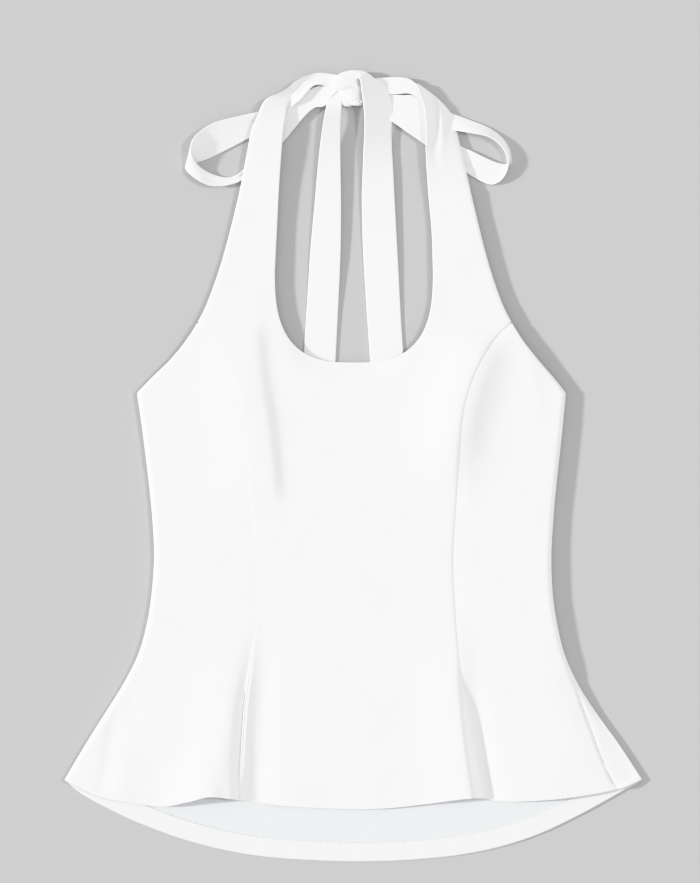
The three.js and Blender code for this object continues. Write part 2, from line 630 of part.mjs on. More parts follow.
const cloth = { color: 0xf4f5f4, roughness: 0.82, metalness: 0 };
const pieces = [
  ['front_centre', centreFrontGeometry()],
  ['front_side_left', sideFrontGeometry('left')],
  ['front_side_right', sideFrontGeometry('right')],
  ['back', backGeometry()],
  ['strap_tie_left', tieGeometry(strapTieLeft, 3, 3)],
  ['strap_tie_right', tieGeometry(strapTieRight, 3, 3)],
  ['loop_left', tieGeometry(loopLeft, 3, 3)],
  ['loop_right', tieGeometry(loopRight, 3, 3)],
  ['tail_left', tieGeometry(tailLeft, 2, 2)],
  ['tail_right', tieGeometry(tailRight, 2, 2)],
  ['knot', knotGeometry()],
];

const group = new THREE.Group();
for (const [name, geometry] of pieces) {
  const mesh = new THREE.Mesh(geometry, new THREE.MeshStandardMaterial(cloth));
  mesh.name = name;
  group.add(mesh);
}

export default group;
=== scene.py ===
import bpy
import numpy as np
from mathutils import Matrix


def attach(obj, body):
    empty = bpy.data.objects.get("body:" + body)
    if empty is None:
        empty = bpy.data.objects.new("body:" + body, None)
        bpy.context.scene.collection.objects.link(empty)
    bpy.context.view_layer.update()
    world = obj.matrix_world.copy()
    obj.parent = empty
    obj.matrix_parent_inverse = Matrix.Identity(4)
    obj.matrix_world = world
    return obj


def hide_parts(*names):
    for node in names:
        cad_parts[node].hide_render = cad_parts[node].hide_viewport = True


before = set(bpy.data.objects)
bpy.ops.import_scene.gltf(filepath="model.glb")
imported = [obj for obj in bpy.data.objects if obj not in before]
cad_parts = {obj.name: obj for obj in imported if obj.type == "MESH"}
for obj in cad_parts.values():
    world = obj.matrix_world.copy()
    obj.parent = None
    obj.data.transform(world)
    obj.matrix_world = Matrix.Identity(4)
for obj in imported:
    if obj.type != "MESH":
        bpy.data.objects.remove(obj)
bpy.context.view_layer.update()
mm = 0.001


# Tables and curves

# A table's column between its rows: a cubic whose slope at each row is the slope between the rows
# on both sides of it
def along(rows, at, column=1):
    table = np.array(rows, float)
    x, y = table[:, 0], table[:, column]
    at = np.asarray(at, float)
    i = np.clip(np.searchsorted(x, at, side="right") - 1, 0, len(x) - 2)
    before, after = np.maximum(i - 1, 0), np.minimum(i + 2, len(x) - 1)
    span = x[i + 1] - x[i]
    t = np.clip((at - x[i]) / span, 0, 1)
    slopeA = (y[i + 1] - y[before]) / (x[i + 1] - x[before])
    slopeB = (y[after] - y[i]) / (x[after] - x[i])
    straight = (y[i + 1] - y[i]) / span
    bend = (slopeA - straight) * (1 - t) - (slopeB - straight) * t
    return y[i] + span * t * (straight + (1 - t) * bend)


# 1 at distance 0, falling as half a cosine wave to 0 at the reach
def halfWave(distance, reach):
    return 0.5 + 0.5 * np.cos(np.pi * np.minimum(np.abs(distance) / reach, 1))


# 0 below 0, 1 above 1 and an S between them
def softStep(t):
    t = np.clip(t, 0, 1)
    return t * t * (3 - 2 * t)


# Length of a line of points up to each of them
def lengthsAlong(points):
    return np.concatenate([[0], np.cumsum(np.linalg.norm(np.diff(points, axis=0), axis=1))])


# A curve through the points, by the length of the straight lines between them
def smoothLine(points, count):
    points = np.array(points, float)
    lengths = lengthsAlong(points)
    rows = np.column_stack([lengths, points])
    at = np.linspace(0, lengths[-1], count)
    return np.stack([along(rows, at, 1 + k) for k in range(points.shape[1])], 1)


# The same line cut into steps of one length
def evenly(line, count):
    lengths = lengthsAlong(line)
    at = np.linspace(0, lengths[-1], count)
    return np.stack([np.interp(at, lengths, line[:, k]) for k in range(line.shape[1])], 1)


# Unit headings along a line, and the same turned a quarter to the left
def headings(line):
    run = np.gradient(line, axis=0)
    run /= np.linalg.norm(run, axis=1, keepdims=True)
    return run, np.stack([-run[:, 1], run[:, 0]], 1)


# Shares of a width from 0 to 1 with a few close steps at both ends, given in millimetres
def edgedShares(width, count, close=(1.3, 2.8, 4.6)):
    low = np.array([0, *close]) / width
    middle = np.linspace(low[-1], 1 - low[-1], count)
    return np.concatenate([low[:-1], middle, 1 - low[:-1][::-1]])


# The cut of the top: rows of y, left x and right x, or of x and y along the hems
cut = {
    "bodySide": [
        (-313, -288.5, 289.5), (-278, -267.8, 266.6), (-248, -249, 244.9), (-218, -230.2, 225.6),
        (-188, -215, 212), (-158, -206.3, 204.5), (-128, -201.5, 200), (-90, -198.8, 198.5),
        (-53, -200.5, 200.5), (-23, -203.3, 203), (37, -210.6, 209.5), (74, -216, 213),
    ],
    "armhole": [
        (74, -216, 213), (87, -203.7, 202.8), (107, -183, 185.5), (127, -166.6, 169.8),
        (147, -154, 157.4), (167, -144.6, 147.9), (207, -130.8, 134.7), (267, -115.3, 119.7),
        (313, -106.1, 109.2), (337, -101.2, 103.9), (352, -94.8, 99.5), (361, -91.5, 92),
    ],
    "strapInner": [
        (197, -78, 80), (237, -76, 78.6), (277, -74, 75), (313, -71.6, 72.8),
        (337, -69.6, 72.6), (361, -66, 70.6),
    ],
    "princess": [
        (-336, -114, 120), (-278, -111.1, 113.2), (-233, -107.7, 109.2), (-188, -101.5, 105.2),
        (-155, -96.5, 102.4), (-93, -95.5, 99.5), (-38, -102.2, 102.5), (7, -106, 105.4),
        (37, -108, 107.4), (67, -113.6, 112.2), (97, -123.5, 123), (127, -141.5, 140.5),
        (145, -155.2, 158.2),
    ],
    "frontHem": [
        (-288.5, -313), (-253, -329.4), (-213, -337.4), (-188, -339.5), (-163, -334),
        (-143, -329.3), (-113, -333), (-73, -338.7), (-13, -342), (27, -341.8), (67, -337.9),
        (120, -331), (147, -334.5), (187, -333.5), (227, -329.3), (267, -321.6), (289.5, -313),
    ],
    "backHem": [
        (-288.5, -313), (-273, -326.7), (-233, -348.2), (-193, -364.9), (-153, -377.8),
        (-113, -386.7), (-73, -391.8), (-13, -394.9), (27, -394.9), (67, -392.9), (107, -388.7),
        (147, -380.7), (187, -367.6), (227, -348.6), (267, -326.5), (289.5, -313),
    ],
    "scoop": {"x": 1.0, "topY": 197.0, "halfWidth": 79.0, "depth": 92.5, "power": 2.85},
    "cornerY": 74.0,        # underarm corners
    "seamTopY": 145.0,      # where the princess seams reach the armholes
    "seamFootY": -332.0,    # level at which they reach the front's hem
    "backTopY": 72.0,
}
left, right = 1, 2          # a table's columns

# How the front lies: rows of y and the height of its upper face, and how its side edges roll
# down; then the fullness of the bust, the flared hem's folds and the hem's waves
lie = {
    "rise": [(-345, 5.8), (-290, 7.2), (-200, 7.8), (60, 7.8), (130, 7.2), (200, 6.6),
             (260, 6.8), (300, 8.0), (330, 9.6), (361, 9.8)],
    "roll": [(-313, 1.4), (-250, 3.2), (60, 3.2), (110, 1.0), (361, 0.6)],
    "rollWidth": 6.0,
    "bust": {"y": 50, "reach": 78, "height": 2.2, "flank": 27},
    "flareFolds": [
        {"seam": left, "offset": -11, "startY": -150, "height": 5.6, "flanks": (56, 22)},
        {"seam": right, "offset": -2, "startY": -140, "height": 5.2, "flanks": (55, 21)},
    ],
    "hemWaves": [
        {"x": -158, "height": 4.6, "flank": 44, "reach": 70},
        {"x": 196, "height": 1.6, "flank": 46, "reach": 80},
        {"x": -238, "height": 1.2, "flank": 26, "reach": 90},
    ],
    "sidePanelDrop": {left: 0.15, right: 0.6},      # of a side front beside its seam
    "sidePanelDropReach": 14,
}


# The outline's x at a level, from the armhole's table above the underarm corner
def outlineX(y, side):
    return np.where(np.asarray(y) < cut["cornerY"], along(cut["bodySide"], y, side),
                    along(cut["armhole"], y, side))


# The princess seam's x at a level, and its upper end's x above that
def seamX(y, side):
    return along(cut["princess"], np.minimum(y, cut["seamTopY"]), side)


# Height of the front's upper face: the rise at that level, a bell on each princess seam at the
# bust, half waves on the hem's folds and waves, less a quarter round at the side edges
def frontTop(x, y):
    z = along(lie["rise"], y)
    bust = lie["bust"]
    level = np.exp(-(((y - bust["y"]) / bust["reach"]) ** 2))
    for side in (left, right):
        z = z + bust["height"] * level * np.exp(-(((x - seamX(y, side)) / bust["flank"]) ** 2))
    hemY = along(cut["frontHem"], x)
    for fold in lie["flareFolds"]:
        grown = np.clip((fold["startY"] - y) / (fold["startY"] - hemY), 0, 1)
        fromCrest = x - seamX(y, fold["seam"]) - fold["offset"]
        flank = np.where(fromCrest < 0, *fold["flanks"])
        z = z + fold["height"] * np.sin(grown * np.pi / 2) * halfWave(fromCrest, flank)
    for wave in lie["hemWaves"]:
        z = z + (wave["height"] * halfWave(y - hemY, wave["reach"])
                 * halfWave(x - wave["x"], wave["flank"]))
    inset = np.maximum(np.minimum(x - outlineX(y, left), outlineX(y, right) - x), 0)
    t = np.minimum(inset / lie["rollWidth"], 1)
    return z - along(lie["roll"], y) * (1 - np.sqrt(1 - (1 - t) ** 2))


# Soft creases of the front. Each runs through its points; its height falls off like a bell,
# over one width on its left and another on its right as seen from its first point, and it fades
# in and out over the shares of its length given by fade
creases = [
    # left bust, from under the armhole edge down to the waist
    {"points": [(-100, 158), (-98, 124), (-94.5, 92), (-90, 62), (-86.5, 40), (-83, 10),
                (-80.5, -22), (-79, -52)],
     "height": 3.5, "widths": (9.4, 46), "fade": (0.17, 0.2)},
    {"points": [(-112, 172), (-98, 168), (-84, 166)], "height": 0.6, "widths": (8, 8),
     "fade": (0.5, 0.5)},
    # right bust, falling away from the seam
    {"points": [(138, 142), (123, 108), (109, 64), (98, 18), (92, -38)], "height": 6.3,
     "widths": (25, 36), "fade": (0.2, 0.4)},
    # the neckline's foot lies down on the tie's ends
    {"points": [(-74, 150), (-57, 122), (-34, 108), (0, 102), (34, 108), (56, 124)], "height": -3.0,
     "widths": (12, 11), "fade": (0.4, 0.3)},
    {"points": [(166, 137), (178, 97), (184, 60), (186, 20)], "height": 0.8, "widths": (9, 12),
     "fade": (0.3, 0.5)},
    {"points": [(91, 197), (99, 165), (109, 137)], "height": -0.6, "widths": (8, 12),
     "fade": (0.4, 0.4)},
    # right flare: the side panel drops sharply beside the raised seam
    {"points": [(105.5, -184), (111, -215), (117, -255), (124.5, -300), (132, -336)],
     "height": -4.2, "widths": (16, 5), "fade": (0.48, 0.01)},
    # left flare: a trough that ends in the raised seam, and the fall beyond the seam
    {"points": [(-97.4, -158), (-102.3, -188), (-108.5, -233), (-111.9, -278), (-114.8, -335)],
     "height": -2.9, "widths": (1.2, 10.5), "fade": (0.5, 0.26)},
    {"points": [(-87, -150), (-89.5, -210), (-92, -260), (-95, -340)], "height": -2.4,
     "widths": (13, 10), "fade": (0.45, 0.01)},
    # below the right side seam, where the flare turns under: the roll into the line, the line,
    # and the lower part beyond it
    {"points": [(213, -190), (217.5, -206), (226.5, -233), (237.8, -263), (249, -293), (258, -312),
                (266, -324)],
     "height": -1.2, "widths": (1.3, 13), "fade": (0.2, 0.02)},
    {"points": [(213, -190), (217.5, -206), (226.5, -233), (237.8, -263), (249, -293), (258, -312),
                (266, -324)],
     "height": -1.5, "widths": (60, 0.8), "fade": (0.25, 0.02)},
    {"points": [(206, -140), (223, -185), (247, -232), (270, -272), (296, -312)], "height": -3.4,
     "widths": (16, 19), "fade": (0.75, 0.02)},
    # left side of the flare, and the lift of its hem
    {"points": [(-232, -225), (-240, -262), (-246, -300), (-250, -328)], "height": -1.6,
     "widths": (12, 8), "fade": (0.4, 0.05)},
    {"points": [(-214, -205), (-222, -240), (-226, -275)], "height": -0.9, "widths": (13, 11),
     "fade": (0.4, 0.4)},
    {"points": [(-172, -336), (-150, -331), (-128, -330)], "height": 1.6, "widths": (14, 14),
     "fade": (0.3, 0.3)},
]


# Sum of the creases: height times a bell of the distance to the crease's line
def creaseRelief(x, y, table):
    shape, x, y = x.shape, x.ravel(), y.ravel()
    z = np.zeros_like(x)
    for crease in table:
        line = smoothLine(crease["points"], 40)
        reach = 3 * max(crease["widths"])
        low, high = line.min(0) - reach, line.max(0) + reach
        near = np.flatnonzero((x > low[0]) & (x < high[0]) & (y > low[1]) & (y < high[1]))
        place = np.stack([x[near], y[near]], 1)[:, None]
        start, step = line[:-1], np.diff(line, axis=0)
        t = np.clip(((place - start) * step).sum(2) / (step ** 2).sum(1), 0, 1)
        away = place - start - t[..., None] * step
        squared = (away ** 2).sum(2)
        nearest = squared.argmin(1)
        rows = np.arange(len(near))
        distance = np.sqrt(squared[rows, nearest])
        offset = away[rows, nearest]
        heading = step[nearest]
        onLeft = heading[:, 0] * offset[:, 1] - heading[:, 1] * offset[:, 0] > 0
        share = (nearest + t[rows, nearest]) / len(step)
        fadeIn, fadeOut = crease["fade"]
        ends = softStep(share / fadeIn) * softStep((1 - share) / fadeOut)
        width = np.where(onLeft, *crease["widths"])
        z[near] += crease["height"] * ends * np.exp(-((distance / width) ** 2))
    return z.reshape(shape)


# Slow unevenness of laid cloth: waves of several lengths and headings, in a fixed random draw
unevenness = {"count": 26, "shortest": 28.0, "longest": 120.0, "height": 0.05, "seed": 4}


# Sum of sine waves whose height grows with their length
def unevenRelief(x, y):
    draw = np.random.default_rng(unevenness["seed"])
    z = np.zeros_like(x)
    for _ in range(unevenness["count"]):
        length = draw.uniform(unevenness["shortest"], unevenness["longest"])
        heading, phase = draw.uniform(0, 2 * np.pi, 2)
        height = unevenness["height"] * length / unevenness["longest"]
        onward = x * np.cos(heading) + y * np.sin(heading)
        z += height * np.sin(2 * np.pi * onward / length + phase)
    return z


# Meshes

# Quads of a grid of points numbered row by row; a closed grid joins its last column to its first
def gridFaces(rows, columns, closed=False):
    steps = columns if closed else columns - 1
    i, j = np.meshgrid(np.arange(rows - 1), np.arange(steps), indexing="ij")
    a, b = i * columns + j, i * columns + (j + 1) % columns
    return np.stack([a, b, b + columns, a + columns], 2).reshape(-1, 4)


# Quads across one ring of points, each joining two neighbours to the two facing them
def capFaces(ring):
    k = np.arange(ring // 2 - 1)
    return np.stack([k, k + 1, ring - 2 - k, ring - 1 - k], 1)


# Patches joined along the border points that they share in plan, faces counterclockwise
def joinPatches(patches):
    plans, faces, count = [], [], 0
    for patch in patches:
        plans.append(patch.reshape(-1, patch.shape[2]))
        faces.append(gridFaces(*patch.shape[:2]) + count)
        count += len(plans[-1])
    plan, faces = np.concatenate(plans), np.concatenate(faces)
    places = np.round(plan[:, :2], 4)
    _, first, same = np.unique(places, axis=0, return_index=True, return_inverse=True)
    plan, faces = plan[first], same.reshape(-1)[faces]
    a, b, c = (plan[faces[:, k]] for k in range(3))
    turn = (b - a)[:, 0] * (c - a)[:, 1] - (b - a)[:, 1] * (c - a)[:, 0]
    return plan, np.where((turn > 0)[:, None], faces, faces[:, ::-1])


# Points inside four edges: the two blends of facing edges less the blend of the corners
def coonsPatch(bottom, top, leftSide, rightSide, across, up):
    u, v = across[None, :, None], up[:, None, None]
    corners = ((1 - v) * ((1 - u) * bottom[0] + u * bottom[-1])
               + v * ((1 - u) * top[0] + u * top[-1]))
    return ((1 - v) * bottom + v * top + (1 - u) * leftSide[:, None] + u * rightSide[:, None]
            - corners)


# A wall over plan points: the upper face, the same face one thickness lower, and a half round rim
# along every border. Returns points and faces
def clothWall(plan, faces, top, thickness, steps=5):
    radius = thickness / 2
    count = len(plan)
    edges = np.concatenate([faces[:, [k, (k + 1) % 4]] for k in range(4)])
    code = np.sort(edges, axis=1) @ np.array([count, 1])
    _, first, uses = np.unique(code, return_index=True, return_counts=True)
    border = edges[first[uses == 1]]
    run = plan[border[:, 1]] - plan[border[:, 0]]
    run /= np.linalg.norm(run, axis=1, keepdims=True)
    outward = np.zeros((count, 2))
    for end in (0, 1):
        np.add.at(outward, border[:, end], np.stack([run[:, 1], -run[:, 0]], 1))
    rim = np.unique(border)
    outward[rim] /= np.linalg.norm(outward[rim], axis=1, keepdims=True)
    inner = plan - outward * radius
    points = [np.column_stack([inner, top]), np.column_stack([inner, top - thickness])]
    for angle in np.linspace(np.pi / 2, -np.pi / 2, steps + 2)[1:-1]:
        reach = plan[rim] + outward[rim] * radius * (np.cos(angle) - 1)
        points.append(np.column_stack([reach, top[rim] - radius + radius * np.sin(angle)]))
    place = np.zeros(count, int)
    place[rim] = np.arange(len(rim))
    loops = [border]
    loops += [2 * count + k * len(rim) + place[border] for k in range(steps)]
    loops += [border + count]
    quads = [faces, faces[:, ::-1] + count]
    for upper, lower in zip(loops, loops[1:]):
        quads.append(np.stack([upper[:, 0], lower[:, 0], lower[:, 1], upper[:, 1]], 1))
    return np.concatenate(points), np.concatenate(quads)


# One object from shells of points in millimetres and quads, faces outwards
def addPiece(name, shells, material, nodes=()):
    points, faces, count = [], [], 0
    for shellPoints, shellFaces in shells:
        a, b, c, d = (shellPoints[shellFaces[:, k]] for k in range(4))
        volume = (a * np.cross(b, c)).sum() + (a * np.cross(c, d)).sum()
        points.append(shellPoints)
        faces.append((shellFaces if volume > 0 else shellFaces[:, ::-1]) + count)
        count += len(shellPoints)
    mesh = bpy.data.meshes.new(name)
    mesh.from_pydata(np.concatenate(points) * mm, [], np.concatenate(faces).tolist())
    mesh.polygons.foreach_set("use_smooth", np.ones(len(mesh.polygons), bool))
    mesh.materials.append(material)
    mesh.update()
    piece = bpy.data.objects.new(name, mesh)
    bpy.context.scene.collection.objects.link(piece)
    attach(piece, "root")
    if nodes:
        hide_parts(*nodes)
    halfArea = sum(face.area for face in mesh.polygons) / 2
    print(name, len(mesh.vertices), "points, half surface", round(halfArea, 5))
    return piece


# Finishes

crepeLook = {
    "color": (0.866, 0.876, 0.866),
    "shade": (0.848, 0.857, 0.848),   # where the dye and the press left it a touch duller
    "roughness": 0.78,
    "specular": 0.25,
    "sheen": 0.12,
    "sheenRoughness": 0.5,
    "drift": 0.06,                    # size of the shade's patches, metres
    "pebble": 0.0007,                 # size of the crepe's grain, metres
    "twist": 0.6,                     # size of the pebbles over that of the twisted thread
    "pebbleDepth": 0.00005,
    "bump": 0.5,
}
# The back's inside: its darker colour is partly the cloth's duller reverse face and partly painted
# shade from the front lying over it
insideAndPaintedShadeLook = dict(crepeLook, color=(0.735, 0.745, 0.765), shade=(0.72, 0.73, 0.752), sheen=0.05)
turnUpLook = dict(crepeLook, color=(0.815, 0.823, 0.826), shade=(0.80, 0.808, 0.812))
threadLook = dict(insideAndPaintedShadeLook, color=(0.60, 0.61, 0.625), shade=(0.56, 0.57, 0.585))


# Matt woven crepe: a pebbled grain of two noises in the bump, over a slow colour drift
def crepe(name, look):
    material = bpy.data.materials.new(name)
    material.use_nodes = True
    nodes, links = material.node_tree.nodes, material.node_tree.links
    shader = nodes["Principled BSDF"]
    shader.inputs["Roughness"].default_value = look["roughness"]
    shader.inputs["Sheen Weight"].default_value = look["sheen"]
    shader.inputs["Sheen Roughness"].default_value = look["sheenRoughness"]
    shader.inputs["Specular IOR Level"].default_value = look["specular"]
    where = nodes.new("ShaderNodeTexCoord")

    # a noise whose scale is one over its size
    def noise(size, detail):
        grain = nodes.new("ShaderNodeTexNoise")
        grain.inputs["Scale"].default_value = 1 / size
        grain.inputs["Detail"].default_value = detail
        links.new(where.outputs["Object"], grain.inputs["Vector"])
        return grain.outputs["Fac"]

    drift = nodes.new("ShaderNodeMix")
    drift.data_type = "RGBA"
    drift.inputs["A"].default_value = (*look["color"], 1)
    drift.inputs["B"].default_value = (*look["shade"], 1)
    links.new(noise(look["drift"], 3), drift.inputs["Factor"])
    links.new(drift.outputs["Result"], shader.inputs["Base Color"])
    twist = nodes.new("ShaderNodeTexVoronoi")
    twist.inputs["Scale"].default_value = look["twist"] / look["pebble"]
    links.new(where.outputs["Object"], twist.inputs["Vector"])
    height = nodes.new("ShaderNodeMath")
    links.new(noise(look["pebble"], 2), height.inputs[0])
    links.new(twist.outputs["Distance"], height.inputs[1])
    bump = nodes.new("ShaderNodeBump")
    bump.inputs["Strength"].default_value = look["bump"]
    bump.inputs["Distance"].default_value = look["pebbleDepth"]
    links.new(height.outputs[0], bump.inputs["Height"])
    links.new(bump.outputs["Normal"], shader.inputs["Normal"])
    return material


crepeFace = crepe("crepeFace", crepeLook)
# the back's inside, with painted shade from the front over it in its colour
crepeInsideAndPaintedShade = crepe("crepeInsideAndPaintedShade", insideAndPaintedShadeLook)
crepeTurnUp = crepe("crepeTurnUp", turnUpLook)


# Front panels

panelLook = {
    "thickness": 1.6,
    "seamLap": 0.9,                     # how far a side front reaches under the centre front
    "seamRoll": {left: 0.02, right: 0.3},
    "seamRollWidth": 1.4,
    "lowest": 3.15,                     # the upper face where the front lies on the back
    "strapRound": 0.6,                  # how far a strap end's edges are rounded down
}
# Points along the edges of the centre front's two patches, which meet at a level line
centreGrid = {
    "levelY": 60.0,
    "level": 108, "side": 46, "strap": 54, "strapEnd": 90,
    "rows": 190, "height": 400,             # up the lower patch
    "across": 14, "width": 34, "close": (1.2, 2.4, 3.8),    # from the neckline out to the edge
}
sideGrid = {
    "rows": 230, "height": 470, "columns": 88, "width": 100,
    "topY": 143.9,                          # the upper corner, where the seam meets the armhole
    "split": 0.86,                          # share of the rows below the underarm corner
}
scoop = cut["scoop"]
scoopSamples = 4001                         # points of the neckline before it is cut evenly


# The neckline: a superellipse from the left strap down and up to the right strap
def scoopLine(count):
    turn = np.linspace(-np.pi / 2, np.pi / 2, scoopSamples)
    power = 2 / scoop["power"]
    x = scoop["x"] + scoop["halfWidth"] * np.sign(turn) * np.abs(np.sin(turn)) ** power
    y = scoop["topY"] - scoop["depth"] * np.maximum(np.cos(turn), 0) ** power
    return evenly(np.stack([x, y], 1), count)


# The front's upper face with its creases, and a small roll into each princess seam
def frontHeight(x, y):
    z = frontTop(x, y) + creaseRelief(x, y, creases) + unevenRelief(x, y)
    for side in (left, right):
        fromSeam = np.abs(x - seamX(y, side))
        below = y < cut["seamTopY"]
        z = z - below * panelLook["seamRoll"][side] * np.exp(-fromSeam / panelLook["seamRollWidth"])
    return np.maximum(z, panelLook["lowest"])


# The straps' ends, from the level where they begin to turn towards the knot: rows of one place
# on the outer edge (x, y, z) and one on the inner edge. The first row lies on the strap's table
strapEnds = {
    left: [
        (-106.1, 313, 8.5, -71.6, 313, 8.4), (-101.2, 337, 9.8, -69.6, 337, 9),
        (-94.8, 352, 10.6, -67.2, 352, 8), (-91.2, 361.2, 11, -65.6, 361, 7),
        (-86, 368, 10.8, -63.5, 367.5, 5.9), (-75, 373.4, 10.2, -61, 373, 5.3),
        (-64, 379.5, 10, -56.5, 376.5, 5), (-57.3, 385.5, 9.8, -50.5, 381.5, 4.9),
        (-48, 390.5, 9.2, -42, 386, 5), (-35.5, 394, 8, -33.5, 387, 5.6),
        (-23, 393.4, 6.6, -22.5, 386, 5.8), (-9, 390, 6.8, -9, 385, 6.6),
    ],
    right: [
        (117.6, 277, 6.2, 75, 277, 7.8), (109.2, 313, 4.7, 72.8, 313, 10.2),
        (103.9, 337, 3.3, 72.6, 337, 11.4), (99.5, 352, 2.7, 71.9, 352, 11.5),
        (92.6, 361.5, 2.6, 70.4, 361, 10.9), (85, 369, 3.2, 68.3, 367.5, 9.6),
        (77, 375.6, 4, 66, 375, 8.6), (70.5, 380.2, 5, 64, 379.6, 7.8),
        (65.2, 383.6, 5.8, 62.4, 383.2, 7.2),
    ],
}
# Lengthwise folds of a strap's end: (y where it starts, y where it is full, place from the
# inner edge in mm, height, width)
strapFolds = {
    left: [],
    right: [(285, 345, 9.5, -1.7, 4.6), (295, 350, 16.5, 0.7, 2.4),
            (330, 352, 22.0, -0.5, 3.0)],
}


# Heights between a strap end's two edges: straight across, less a quarter round at both edges,
# with its folds as bells
def strapEndHeight(turned, shares, side):
    outerEdge, innerEdge = turned[:, :3], turned[:, 3:]
    width = np.linalg.norm(outerEdge[:, :2] - innerEdge[:, :2], axis=1)
    z = innerEdge[:, 2] + (outerEdge[:, 2] - innerEdge[:, 2]) * shares
    inset = np.minimum((1 - shares) * width, lie["rollWidth"])
    t = inset / lie["rollWidth"]
    z = z - panelLook["strapRound"] * (1 - np.sqrt(1 - (1 - t) ** 2))
    for start, full, place, height, spread in strapFolds[side]:
        grown = softStep((turned[:, 4] - start) / (full - start))
        z = z + height * grown * np.exp(-(((shares * width - place) / spread) ** 2))
    return z


# The centre front with both straps. Below a level line it is one patch between the seams; above, a
# patch follows the neckline round from strap to strap, out to the panel's edge
def frontCentre():
    look = centreGrid
    levelY, bottomCount, sideCount = look["levelY"], look["level"], look["side"]
    footY = np.array([cut["seamFootY"]])
    seamLow = {side: seamX(footY, side)[0] for side in (left, right)}
    leftX, rightX = (seamX(np.array([levelY]), side)[0] for side in (left, right))
    level = np.stack([np.linspace(leftX, rightX, bottomCount), np.full(bottomCount, levelY)], 1)
    across = np.linspace(0, 1, bottomCount)
    up = edgedShares(look["height"], look["rows"])
    hemX = np.linspace(seamLow[left], seamLow[right], bottomCount)
    hem = np.stack([hemX, along(cut["frontHem"], hemX)], 1)
    sides = []
    for side, corner in ((left, 0), (right, -1)):
        y = hem[corner, 1] + (levelY - hem[corner, 1]) * up
        x = seamX(y, side)
        x[0], x[-1] = hem[corner, 0], level[corner, 0]
        sides.append(np.stack([x, y], 1))
    body = coonsPatch(hem, level, sides[0], sides[1], across, up)

    scoopCount = bottomCount + 2 * (sideCount - 1)
    neck = scoopLine(scoopCount)
    outer = np.zeros_like(neck)
    outer[sideCount - 1:sideCount - 1 + bottomCount] = level
    for side in (left, right):
        y = np.linspace(scoop["topY"], levelY, sideCount)
        x = np.where(y < cut["seamTopY"], seamX(y, side), outlineX(y, side))
        edge = np.stack([x, y], 1)
        edge[-1] = level[0 if side == left else -1]
        if side == left:
            outer[:sideCount] = edge
        else:
            outer[-sideCount:] = edge[::-1]
    straps = []
    for side in (left, right):
        y = np.linspace(strapEnds[side][0][1], scoop["topY"], look["strap"])
        inner = np.stack([along(cut["strapInner"], y, side), y], 1)
        edge = np.stack([outlineX(y, side), y], 1)
        end = 0 if side == left else -1
        inner[-1], edge[-1] = neck[end], outer[end]
        turned = smoothLine(strapEnds[side], look["strapEnd"])[::-1]
        straps.append((np.concatenate([turned[:-1, 3:5], inner]),
                       np.concatenate([turned[:-1, 0:2], edge]), turned[:-1]))
    (innerLeft, edgeLeft, turnedLeft), (innerRight, edgeRight, turnedRight) = straps
    neckline = np.concatenate([innerLeft[:-1], neck, innerRight[:-1][::-1]])
    outline = np.concatenate([edgeLeft[:-1], outer, edgeRight[:-1][::-1]])
    shares = edgedShares(look["width"], look["across"], look["close"])[:, None, None]
    yoke = (1 - shares) * neckline + shares * outline
    height = frontHeight(yoke[..., 0], yoke[..., 1])
    for side, turned in ((left, turnedLeft), (right, turnedRight)):
        at = turned if side == left else turned[::-1]
        ends = slice(0, len(at)) if side == left else slice(-len(at), None)
        height[:, ends] = strapEndHeight(at, shares[..., 0], side)
    yoke = np.concatenate([yoke, height[..., None]], 2)
    body = np.concatenate([body, frontHeight(body[..., 0], body[..., 1])[..., None]], 2)
    plan, faces = joinPatches([yoke, body])
    return clothWall(plan[:, :2], faces, plan[:, 2], panelLook["thickness"])


# A side front: one patch from the side edge to the princess seam, up to a point where the seam
# meets the armhole
def frontSide(side):
    lap = panelLook["seamLap"] * (1 if side == left else -1)
    up = edgedShares(sideGrid["height"], sideGrid["rows"])
    topY, split, cornerY = sideGrid["topY"], sideGrid["split"], cut["cornerY"]
    footY = cut["bodySide"][0][0]
    edgeY = np.where(up < split, footY + (cornerY - footY) * up / split,
                     cornerY + (topY - cornerY) * (up - split) / (1 - split))
    outerX = outlineX(edgeY, side)
    seamFootX = seamX(np.array([cut["seamFootY"]]), side)[0] + lap
    seamFootY = along(cut["frontHem"], seamFootX)
    seamY = seamFootY + (topY - seamFootY) * up
    innerX = seamX(seamY, side) + lap
    innerX[0] = seamFootX
    outer, inner = np.stack([outerX, edgeY], 1), np.stack([innerX, seamY], 1)
    across = edgedShares(sideGrid["width"], sideGrid["columns"])
    hemX = outer[0, 0] + (inner[0, 0] - outer[0, 0]) * across
    hem = np.stack([hemX, along(cut["frontHem"], hemX)], 1)
    hem[0], hem[-1] = outer[0], inner[0]
    top = outer[-1] + (inner[-1] - outer[-1]) * across[:, None]
    patch = coonsPatch(hem, top, outer, inner, across, up)
    plan, faces = joinPatches([patch])
    x, y = plan[:, 0], plan[:, 1]
    drop = halfWave(x - seamX(y, side), lie["sidePanelDropReach"])
    height = frontHeight(x, y) - lie["sidePanelDrop"][side] * drop
    return clothWall(plan, faces, height, panelLook["thickness"])


centrePiece = addPiece("frontCentre", [frontCentre()], crepeFace, ["front_centre"])
for side, word in ((left, "Left"), (right, "Right")):
    addPiece("frontSide" + word, [frontSide(side)], crepeFace,
                                ["front_side_" + word.lower()])
print("front panels made")


# Back panel with its turned-up hem

